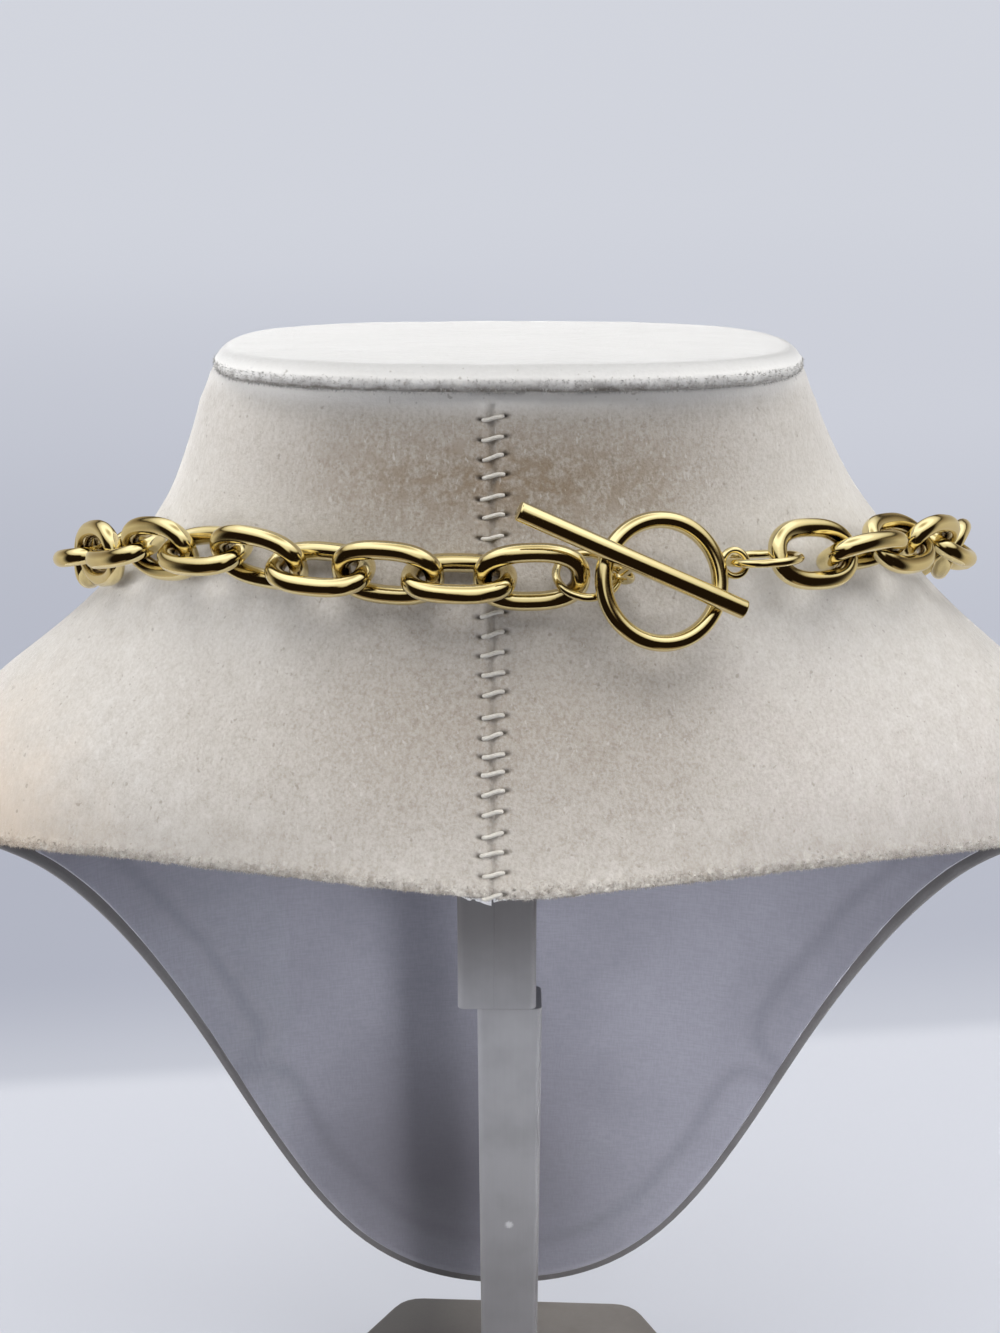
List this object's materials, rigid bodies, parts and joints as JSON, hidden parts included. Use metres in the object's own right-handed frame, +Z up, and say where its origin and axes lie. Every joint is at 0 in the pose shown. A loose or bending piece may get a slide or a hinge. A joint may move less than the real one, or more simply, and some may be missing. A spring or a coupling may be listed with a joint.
{
  "type": "padlock necklace on a neck bust",
  "caption": "Chunky oval-link chain necklace with a toggle clasp and a small padlock pendant, worn by a velvet neck bust that stands on a post and a hexagonal foot.",
  "frame": {"origin": "centre of the foot's underside, on the surface that it stands on", "axes": "+Z up along the post, -Y towards the chest, +Y towards the nape and the toggle clasp, +X towards the bust's own left shoulder"},
  "size_m": [0.1842, 0.1284, 0.2046],
  "materials": {
    "gold_tone_metal": "polished gold-tone plating",
    "velvet": "cream short-pile velvet",
    "cap_velvet": "off-white short-pile velvet",
    "lining": "smooth grey lining cloth",
    "stand_plastic": "satin grey plastic",
    "foot_plastic": "satin grey-beige plastic"
  },
  "bodies": {
    "root": {"link_01": "gold_tone_metal", "link_02": "gold_tone_metal", "link_03": "gold_tone_metal", "link_04": "gold_tone_metal", "link_05": "gold_tone_metal", "link_06": "gold_tone_metal", "link_07": "gold_tone_metal", "link_08": "gold_tone_metal", "link_09": "gold_tone_metal", "link_10": "gold_tone_metal", "link_11": "gold_tone_metal", "link_12": "gold_tone_metal", "link_13": "gold_tone_metal", "link_14": "gold_tone_metal", "link_15": "gold_tone_metal", "link_16": "gold_tone_metal", "link_17": "gold_tone_metal", "link_18": "gold_tone_metal", "link_19": "gold_tone_metal", "link_20": "gold_tone_metal", "link_21": "gold_tone_metal", "link_22": "gold_tone_metal", "link_23": "gold_tone_metal", "link_24": "gold_tone_metal", "link_25": "gold_tone_metal", "link_26": "gold_tone_metal", "link_27": "gold_tone_metal", "link_28": "gold_tone_metal", "link_29": "gold_tone_metal", "link_30": "gold_tone_metal", "link_31": "gold_tone_metal", "link_32": "gold_tone_metal", "link_33": "gold_tone_metal", "link_34": "gold_tone_metal", "link_35": "gold_tone_metal", "link_36": "gold_tone_metal", "link_37": "gold_tone_metal", "link_38": "gold_tone_metal", "link_39": "gold_tone_metal", "toggle_ring": "gold_tone_metal", "toggle_bar": "gold_tone_metal", "bar_jump_ring": "gold_tone_metal", "ring_jump_ring": "gold_tone_metal", "pendant_ring": "gold_tone_metal", "padlock_shackle": "gold_tone_metal", "padlock_body": "gold_tone_metal", "bust_shell": "velvet", "neck_cap": "cap_velvet", "panel_lining": "lining", "post_socket": "stand_plastic", "post": "stand_plastic", "base_plate": "foot_plastic"}
  },
  "joints": []
}
